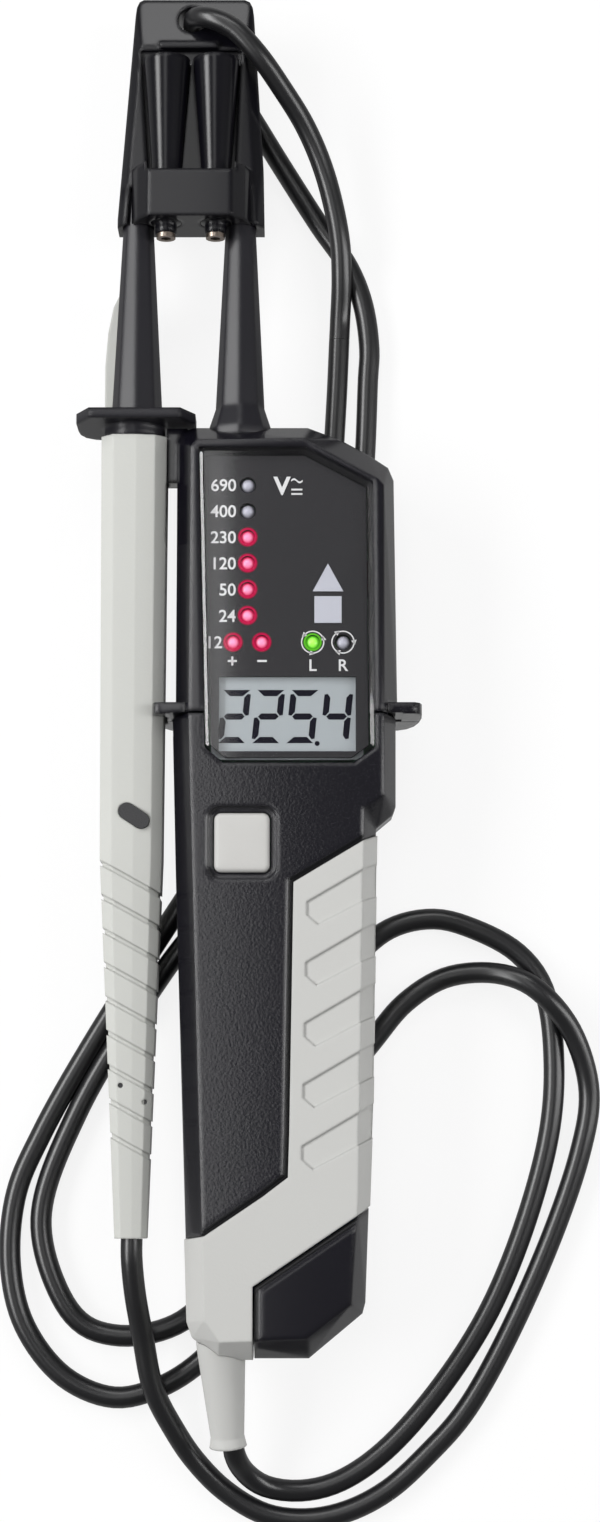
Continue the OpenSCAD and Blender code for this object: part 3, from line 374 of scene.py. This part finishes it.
housing_black = moulded("housing_black", (0.0044, 0.004, 0.0072), 0.36, grain=1400, depth=0.1,
                        mottle=0.12, specular=0.05, edge=1.5, coat=0.9)
panel_black = moulded("panel_black", (0.0046, 0.0042, 0.0074), 0.42, grain=2200, depth=0.1,
                      mottle=0.1, specular=0.05, speck=0.3, edge=1.3, coat=0.9)
border_black = moulded("border_black", (0.004, 0.004, 0.005), 0.22, grain=1400, depth=0.03,
                       mottle=0.05, specular=0.1, edge=0.9, coat=0.4)
dress("rear_shell", housing_black)
dress("head_cover", housing_black)
dress("lower_front_panel", panel_black)
edged("lower_front_panel", border_black, BORDER_TOP)

# The grip.
# A soft light grey rubber is moulded over the handle's right side and lower end. Five
# finger pads are sunk into its front.
grip_grey = moulded("grip_grey", (0.475, 0.475, 0.46), 0.62, grain=1800, depth=0.16, mottle=0.02,
                    sheen=0.1, edge=0.8)
dress("grip_overmould", grip_grey)

# The battery cover.
# A black cover slides off the lower end, and a quarter-turn screw in its foot locks it. The
# screws and contacts are plated with zinc.
dress("battery_cover", housing_black)
edged("battery_cover", border_black, BORDER_TOP)
zinc = moulded("zinc", (0.42, 0.42, 0.43), 0.32, grain=500, depth=0.05, mottle=0.08, metallic=1)
for node in ("battery_cover_contact", "battery_cover_screw", "battery_contacts", "housing_screws"):
    dress(node, zinc)

# The window and what lies under it.
# A clear window with bevelled edges covers a dark printed plate. The plate has holes for
# the lamps, the display and the two lit symbols.
WINDOW = [(-9.638, 49.29), (-8.135, -11.06), (-4.643, -14.09), (20.904, -14.09), (25.148, -11.001),
          (24.882, 42.221), (11.667, 49.29)]
WINDOW_RINGS = ((0, 22.5), (0, 24.95), (0.08, 25.05), (0.6, 25.24), (0.74, 25.31), (0.85, 25.4))
WINDOW_R, SMALLEST_R, WINDOW_SHARP = 1.5, 0.4, 16

# The window mirrors more at a flat view, and only on its outer faces.
window_clear = empty_material("window_clear")
tree = window_clear.node_tree
through = tree.nodes.new("ShaderNodeBsdfTransparent")
shine = tree.nodes.new("ShaderNodeBsdfGlossy")
shine.inputs["Roughness"].default_value = 0.06
edge_on = tree.nodes.new("ShaderNodeFresnel")
edge_on.inputs["IOR"].default_value = 1.68
side = tree.nodes.new("ShaderNodeNewGeometry")
outer = tree.nodes.new("ShaderNodeMath")
outer.operation = "SUBTRACT"
outer.use_clamp = True
mix = tree.nodes.new("ShaderNodeMixShader")
out = tree.nodes.new("ShaderNodeOutputMaterial")
tree.links.new(edge_on.outputs[0], outer.inputs[0])
tree.links.new(side.outputs["Backfacing"], outer.inputs[1])
tree.links.new(outer.outputs[0], mix.inputs[0])
tree.links.new(through.outputs[0], mix.inputs[1])
tree.links.new(shine.outputs[0], mix.inputs[2])
tree.links.new(mix.outputs[0], out.inputs[0])


def inner_outline(points, inset, radius, steps=6):
    """A convex outline, moved inwards, with its corners rounded."""
    lines = []
    for a, b in zip(points, points[1:] + points[:1]):
        along = (Vector(b) - Vector(a)).normalized()
        lines.append((Vector(a) + Vector((-along.y, along.x)) * inset, along))
    found = []
    for (p, u), (q, v) in zip(lines[-1:] + lines[:-1], lines):
        corner = p + u * ((q - p).cross(v) / u.cross(v))
        turn = math.acos(max(-1.0, min(1.0, u.dot(v))))
        reach = radius * math.tan(turn / 2)
        centre = corner - u * reach + Vector((-u.y, u.x)) * radius
        start = math.atan2(-u.x, u.y)
        for k in range(steps + 1):
            angle = start + turn * k / steps
            found.append(tuple(centre + radius * Vector((math.cos(angle), math.sin(angle)))))
    return found


def stacked(name, outlines, material, sharp=None):
    """A solid through outlines that lie one over the other, each with its height. Its edges
    look sharp from a turn of so many degrees, or are all smooth without one."""
    work = bmesh.new()
    loops = [[work.verts.new(at(x, y, z)) for x, y in outline] for z, outline in outlines]
    for a, b in zip(loops, loops[1:]):
        for i in range(len(a)):
            j = (i + 1) % len(a)
            work.faces.new((a[i], a[j], b[j], b[i]))
    work.faces.new(loops[-1])
    work.faces.new(loops[0][::-1])
    mesh = bpy.data.meshes.new(name)
    work.to_mesh(mesh)
    work.free()
    piece = add_piece(name, mesh, material)
    if sharp:
        mesh.set_sharp_from_angle(angle=math.radians(sharp))
    return piece


window = stacked("window_pane", [(z, inner_outline(WINDOW, inset, max(WINDOW_R - inset, SMALLEST_R)))
                                 for inset, z in WINDOW_RINGS], window_clear, WINDOW_SHARP)
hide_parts("display_window")
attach(window, "tester")

face_black = moulded("face_black", (0.0178, 0.0172, 0.02), 0.6, grain=2400, depth=0.1, mottle=0.05,
                     specular=0.3)
dress("face_plate", face_black)
symbol_grey = moulded("symbol_grey", (0.48, 0.49, 0.55), 0.5, mottle=0.03)
dress("symbol_windows", symbol_grey)
print_grey = moulded("print_grey", (0.63, 0.63, 0.64), 0.6, mottle=0.02)

# Heights over the table, then the places of the lamps and of the print beside them. The
# font's digits are 0.7 of its size.
PLATE_TOP = 22.492
PRINT_TOP, GLOW_LOW, GLOW_TOP = PLATE_TOP + 0.02, PLATE_TOP + 0.03, PLATE_TOP + 0.04
RED_LAMPS = ((0.04, 31.5), (0.04, 26.2), (0.04, 20.9), (0.04, 15.6), (-2.83, 10.2), (2.87, 10.2))
GREEN_X, CLEAR_X, PAIR_Y, LAMP_R = 12.99, 19.0, 10.2, 1.5
ROW_Y, ROW_STEP, DIGIT_SHARE = 42.1, 5.32, 0.7
ARROW_HALF, ARROW_LONG = 0.55, 0.95


def flat_shapes(name, shapes, low, high, material, body="tester"):
    """Thin flat shapes, each an outline in millimetres, joined in one piece."""
    mesh = bpy.data.meshes.new(name)
    work = bmesh.new()
    for outline in shapes:
        base = [work.verts.new(at(x, y, low)) for x, y in outline]
        top = [work.verts.new(at(x, y, high)) for x, y in outline]
        work.faces.new(top)
        work.faces.new(base[::-1])
        for i in range(len(outline)):
            j = (i + 1) % len(outline)
            work.faces.new((base[i], base[j], top[j], top[i]))
    bmesh.ops.recalc_face_normals(work, faces=work.faces)
    work.to_mesh(mesh)
    work.free()
    piece = add_piece(name, mesh, material, soft=False)
    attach(piece, body)


def printed(name, words, x, y, height, align="RIGHT", weight=0.045):
    """Plain print on the plate, centred on its height: digits or one letter."""
    text = bpy.data.curves.new(name, "FONT")
    text.body, text.size = words, height / DIGIT_SHARE * MM
    text.align_x, text.align_y = align, "CENTER"
    text.extrude = 0.01 * MM
    text.offset = weight * MM
    draft = bpy.data.objects.new(name + "_draft", text)
    scene.collection.objects.link(draft)
    bpy.context.view_layer.update()
    mesh = bpy.data.meshes.new_from_object(draft.evaluated_get(bpy.context.evaluated_depsgraph_get()))
    bpy.data.objects.remove(draft)
    mesh.name = name
    rows = [v.co.y for v in mesh.vertices]
    middle = (min(rows) + max(rows)) / 2
    mesh.transform(Matrix.Translation(at(x, y, PRINT_TOP) - Vector((0, middle, 0))))
    mesh.materials.clear()
    piece = add_piece(name, mesh, print_grey, soft=False)
    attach(piece, "tester")


for row, words in enumerate(("690", "400", "230", "120", "50", "24", "12")):
    printed("print_" + words, words, -4.9 if words == "12" else -2.25, ROW_Y - ROW_STEP * row, 2.4)
printed("print_v", "V", 5.35, 41.95, 3.55, "LEFT", 0.14)
printed("print_l", "L", 12.95, 5.55, 2.3, "CENTER")
printed("print_r", "R", 18.95, 5.55, 2.3, "CENTER")


def bar_shape(x, y, w, h):
    """A rectangle round a centre."""
    return [(x - w / 2, y - h / 2), (x + w / 2, y - h / 2), (x + w / 2, y + h / 2), (x - w / 2, y + h / 2)]


def wave_shapes(x, y, w, thick):
    """The sign for alternating current, as a row of short quads."""
    half = thick / 2
    line = [(x - w / 2 + w * k / 12, y + 0.33 * math.sin(math.radians(30 * k))) for k in range(13)]
    return [[(a[0], a[1] - half), (b[0], b[1] - half), (b[0], b[1] + half), (a[0], a[1] + half)]
            for a, b in zip(line, line[1:])]


flat_shapes("print_signs", [bar_shape(-2.95, 6.4, 1.8, 0.42), bar_shape(-2.95, 6.4, 0.42, 1.8),
                            bar_shape(2.95, 6.4, 1.9, 0.42), bar_shape(9.85, 41.2, 2.2, 0.36),
                            bar_shape(9.85, 40.3, 2.2, 0.36)] + wave_shapes(9.85, 43.0, 2.3, 0.36),
            PLATE_TOP, PRINT_TOP, print_grey)


def ring_shapes(x, y, r, thick, arrows=(), sense=1):
    """A ring of short quads round a lamp, with arrow heads at the given angles."""
    found = []
    for k in range(48):
        a, b = (math.radians(7.5 * (k + n)) for n in (0, 1))
        found.append([(x + (r + s * thick / 2) * math.cos(t), y + (r + s * thick / 2) * math.sin(t))
                      for s, t in ((-1, a), (1, a), (1, b), (-1, b))])
    for turn in arrows:
        a = math.radians(turn)
        c, s = math.cos(a), math.sin(a)
        tip = (-s * sense, c * sense)
        found.append([(x + r * c + c * ARROW_HALF, y + r * s + s * ARROW_HALF),
                      (x + r * c - c * ARROW_HALF, y + r * s - s * ARROW_HALF),
                      (x + r * c + tip[0] * ARROW_LONG, y + r * s + tip[1] * ARROW_LONG)])
    return found


for name, x, sense in (("print_left_ring", GREEN_X, 1), ("print_right_ring", CLEAR_X, -1)):
    rings = ring_shapes(x, PAIR_Y, 2.2, 0.24, (130, 10, 255), sense)
    flat_shapes(name, rings, PLATE_TOP, PRINT_TOP, print_grey)


# The lamps.
# Ten small round lamps stand on the circuit board and show through the plate: six red ones
# and one green one are lit, three are clear and dark.
def lamp_finish(name, rim, middle, light):
    """A lamp with a pale middle and a deeper rim. The paler middle, where the dome faces up, is a painted
    highlight, and on a lit lamp it glows too.
    """
    material = bpy.data.materials.new(name)
    material.use_nodes = True
    nodes, links = material.node_tree.nodes, material.node_tree.links
    glass = nodes["Principled BSDF"]
    glass.inputs["Roughness"].default_value = 0.25
    shape = nodes.new("ShaderNodeNewGeometry")
    split = nodes.new("ShaderNodeSeparateXYZ")
    ramp = nodes.new("ShaderNodeValToRGB")
    ramp.color_ramp.elements[0].position = 0.62
    ramp.color_ramp.elements[0].color = (*rim, 1)
    ramp.color_ramp.elements[1].position = 1.0
    ramp.color_ramp.elements[1].color = (*middle, 1)
    # Paler where the dome faces up: a painted highlight.
    links.new(shape.outputs["Normal"], split.inputs[0])
    links.new(split.outputs["Z"], ramp.inputs[0])
    links.new(ramp.outputs["Color"], glass.inputs["Base Color"])
    if light:
        links.new(ramp.outputs["Color"], glass.inputs["Emission Color"])
        glass.inputs["Emission Strength"].default_value = light
    return material


def lamp_glow(name, x, y, colour, reach):
    """The soft ring of light that a lit lamp throws on the plate round it."""
    inner = LAMP_R - 0.05
    ring = ring_shapes(x, y, (reach + inner) / 2, reach - inner)
    material = empty_material(name)
    nodes, links = material.node_tree.nodes, material.node_tree.links
    place = nodes.new("ShaderNodeTexCoord")
    level = nodes.new("ShaderNodeVectorMath")
    level.operation = "MULTIPLY"
    level.inputs[1].default_value = (1, 1, 0)
    away = nodes.new("ShaderNodeVectorMath")
    away.operation = "DISTANCE"
    away.inputs[1].default_value = (0.5, 0.5, 0)
    fade = nodes.new("ShaderNodeMapRange")
    fade.interpolation_type = "SMOOTHSTEP"
    fade.inputs["From Min"].default_value = 0.5
    fade.inputs["From Max"].default_value = 0.5 * LAMP_R / reach
    clear = nodes.new("ShaderNodeBsdfTransparent")
    light = nodes.new("ShaderNodeEmission")
    light.inputs["Color"].default_value = (*colour, 1)
    light.inputs["Strength"].default_value = 0.75
    blend = nodes.new("ShaderNodeMixShader")
    finish = nodes.new("ShaderNodeOutputMaterial")
    links.new(place.outputs["Generated"], level.inputs[0])
    links.new(level.outputs[0], away.inputs[0])
    links.new(away.outputs["Value"], fade.inputs["Value"])
    links.new(fade.outputs["Result"], blend.inputs[0])
    links.new(clear.outputs[0], blend.inputs[1])
    links.new(light.outputs[0], blend.inputs[2])
    links.new(blend.outputs[0], finish.inputs[0])
    flat_shapes(name, ring, GLOW_LOW, GLOW_TOP, material)


for k, (x, y) in enumerate(RED_LAMPS):
    lamp_glow("red_glow_%d" % k, x, y, (0.8, 0.01, 0.1), 2.1)
lamp_glow("green_glow", GREEN_X, PAIR_Y, (0.16, 0.75, 0.03), 1.95)
dress("lamps_red", lamp_finish("lamp_red", (0.7, 0.008, 0.09), (0.78, 0.26, 0.44), 0.5))
dress("lamps_green", lamp_finish("lamp_green", (0.1, 0.55, 0.02), (0.35, 0.9, 0.1), 0.5))
dress("lamps_clear", lamp_finish("lamp_clear", (0.3, 0.3, 0.35), (0.5, 0.5, 0.58), 0.0))
for node in ("lamps_red", "lamps_green", "lamps_clear"):
    for face in parts[node].data.polygons:
        face.use_smooth = True

# The display.
# A grey liquid crystal display with four slanted seven-segment digits and a point.
display_grey = moulded("display_grey", (0.366, 0.4, 0.42), 0.35, grain=300, depth=0.02, mottle=0.04)
dress("lcd_module", display_grey)
display_ink = moulded("display_ink", (0.002, 0.0015, 0.008), 0.6, mottle=0.05, specular=0.1)
INK_LOW, INK_TOP = 21.24, 21.27
DIGIT_X, DIGIT_Y, DIGIT_STEP = -4.77, -4.55, 6.76
DIGIT_W, DIGIT_H, SLANT, SEGMENT = 4.43, 4.71, 0.1, 0.62
SEGMENT_GAP, SIDE_GAP = 0.16, 0.3
SEGMENTS = {
    "a": ((0, 1), (1, 1)), "b": ((1, 1), (1, 0)), "c": ((1, 0), (1, -1)), "d": ((0, -1), (1, -1)),
    "e": ((0, 0), (0, -1)), "f": ((0, 1), (0, 0)), "g": ((0, 0), (1, 0)),
}
DIGITS = {"2": "abged", "5": "afgcd", "4": "fgbc"}


def segment_shapes(digit, x, y):
    """The lit segments of one digit: straight outer sides, and ends cut at a slant."""
    found = []
    for key in DIGITS[digit]:
        (x0, y0), (x1, y1) = [(px * DIGIT_W, py * DIGIT_H) for px, py in SEGMENTS[key]]
        span = math.hypot(x1 - x0, y1 - y0)
        ux, uy = (x1 - x0) / span, (y1 - y0) / span
        near, far = SEGMENT - 0.2, SEGMENT + 0.32
        if key in "ad":
            outer = 1 if key == "a" else -1
            ends = ((-near, outer), (span + near, outer), (span - far, -outer), (far, -outer))
        elif key == "g":
            cut = far - 0.2
            ends = ((SEGMENT_GAP, 0), (cut, 1), (span - cut, 1), (span - SEGMENT_GAP, 0),
                    (span - cut, -1), (cut, -1))
        else:
            outer = 1 if (key in "bc") == (uy < 0) else -1
            ends = ((SEGMENT_GAP, 0), (SIDE_GAP, outer), (span - SIDE_GAP, outer),
                    (span - SEGMENT_GAP, 0), (span - far, -outer), (far, -outer))
        line = []
        for along, out_by in ends:
            px = x0 + ux * along - uy * out_by * SEGMENT
            py = y0 + uy * along + ux * out_by * SEGMENT
            line.append((x + px + py * SLANT, y + py))
        found.append(line)
    return found


def disc_shape(x, y, r, sides=16):
    """A small disc."""
    turns = [2 * math.pi * k / sides for k in range(sides)]
    return [(x + r * math.cos(turn), y + r * math.sin(turn)) for turn in turns]


shapes = []
for k, digit in enumerate("2254"):
    shapes += segment_shapes(digit, DIGIT_X + DIGIT_STEP * k, DIGIT_Y)
flat_shapes("display_digits", shapes + [disc_shape(13.88, -9.95, 0.5)], INK_LOW, INK_TOP, display_ink)


# The button.
# A light grey rubber button with a crowned top and rounded edges, in a shallow recess.
EDGE_R, CROWN_STEP, TIGHTEST_R = 1.0, 0.9, 0.25


def crowned_outlines(x, y, w, l, low, high, r, crown):
    """The outlines of a rounded block with soft upper edges and a slightly domed top."""
    corner = []
    for cx, cy, start in ((1, 1, 0), (-1, 1, 90), (-1, -1, 180), (1, -1, 270)):
        for k in range(7):
            t = math.radians(start + 15 * k)
            corner.append((cx, cy, math.cos(t), math.sin(t)))
    rings = [(0, low), (0, high - EDGE_R)]
    for turn in (math.radians(a) for a in (18, 36, 54, 72, 90)):
        rings.append((EDGE_R * (1 - math.cos(turn)), high - EDGE_R + EDGE_R * math.sin(turn)))
    rings += [(EDGE_R + CROWN_STEP * k, high + crown * (1 - (1 - k / 4) ** 2)) for k in (1, 2, 3, 4)]
    found = []
    for inset, z in rings:
        rr = max(r - inset, TIGHTEST_R)
        half_w, half_l = w / 2 - inset - rr, l / 2 - inset - rr
        found.append((z, [(x + cx * half_w + rr * c, y + cy * half_l + rr * s) for cx, cy, c, s in corner]))
    return found


button_grey = moulded("button_grey", (0.48, 0.475, 0.46), 0.55, grain=1500, depth=0.12, mottle=0.02)
button = stacked("button_top", crowned_outlines(x=-0.89, y=-30.02, w=10.9, l=11.7, low=20.7, high=24.95,
                                                r=1.4, crown=0.15), button_grey)
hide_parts("button_cap")
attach(button, "button")

# Inside the housing.
# A coated circuit board carries the lamps, the display, the switch and the buzzer. Two
# cells in plain sleeves lie in the handle's lower end.
board_green = moulded("board_green", (0.02, 0.11, 0.045), 0.35, grain=700, depth=0.05)
cell_blue = moulded("cell_blue", (0.05, 0.12, 0.32), 0.3, grain=300, depth=0.03)
inner_black = moulded("inner_black", (0.02, 0.02, 0.022), 0.5)
for node in ("circuit_board", "probe_board"):
    dress(node, board_green)
dress("batteries", cell_blue)
for node in ("buzzer", "button_switch"):
    dress(node, inner_black)

# The tips.
# Each tip is a long black cone with eight sides that insulates a plated pin. The pin's end
# is hidden under the cap.
cone_black = moulded("cone_black", (0.011, 0.0105, 0.014), 0.4, grain=1300, depth=0.08, mottle=0.12,
                     specular=0.3, edge=1.6, coat=0.13)
plated = moulded("plated", (0.62, 0.56, 0.42), 0.24, grain=600, depth=0.03, mottle=0.05, metallic=1)
for node in ("main_tip_insulator", "probe_nose"):
    dress(node, cone_black)
for node in ("main_tip_pin", "probe_tip_pin"):
    dress(node, plated)

# The second probe.
# A light grey moulded tube has slanted grip grooves, a dark rubber insert, two dark dots
# and a fin behind the nose.
probe_grey = moulded("probe_grey", (0.495, 0.5, 0.475), 0.5, grain=1500, depth=0.1, mottle=0.015, edge=0.6)
dress("probe_tube", probe_grey)
dress("probe_rear_fin", probe_grey)
insert_dark = moulded("insert_dark", (0.03, 0.03, 0.032), 0.7, grain=2600, depth=0.5)
dress("probe_insert", insert_dark)
MARK_R, MARK_DEEP = 0.48, 0.3
for k, (x, y, top) in enumerate(((-24.63, -77.1, 18.55), (-19.93, -80.3, 17.75))):
    disc = disc_shape(x, y, MARK_R)
    flat_shapes("probe_mark_%d" % k, [disc], top - MARK_DEEP, top, insert_dark, "second_probe")

# The strain relief.
# A tapered grey rubber sleeve guides the cord out of the handle's end.
dress("cord_boot", grip_grey)

# The cap.
# A black cap covers both tips. Its band stores two black sleeves, each with a metal
# adapter pushed in from below.
tip_black = moulded("tip_black", (0.0034, 0.0032, 0.0052), 0.36, grain=1300, depth=0.08, mottle=0.12,
                    specular=0.08, edge=1.3, coat=0.5)
for node in ("tip_cap", "tip_sleeve_left", "tip_sleeve_right"):
    dress(node, tip_black)
nickel = moulded("nickel", (0.3, 0.25, 0.21), 0.34, grain=500, depth=0.03, metallic=1)
for node in ("tip_adapter_left", "tip_adapter_right"):
    dress(node, nickel)
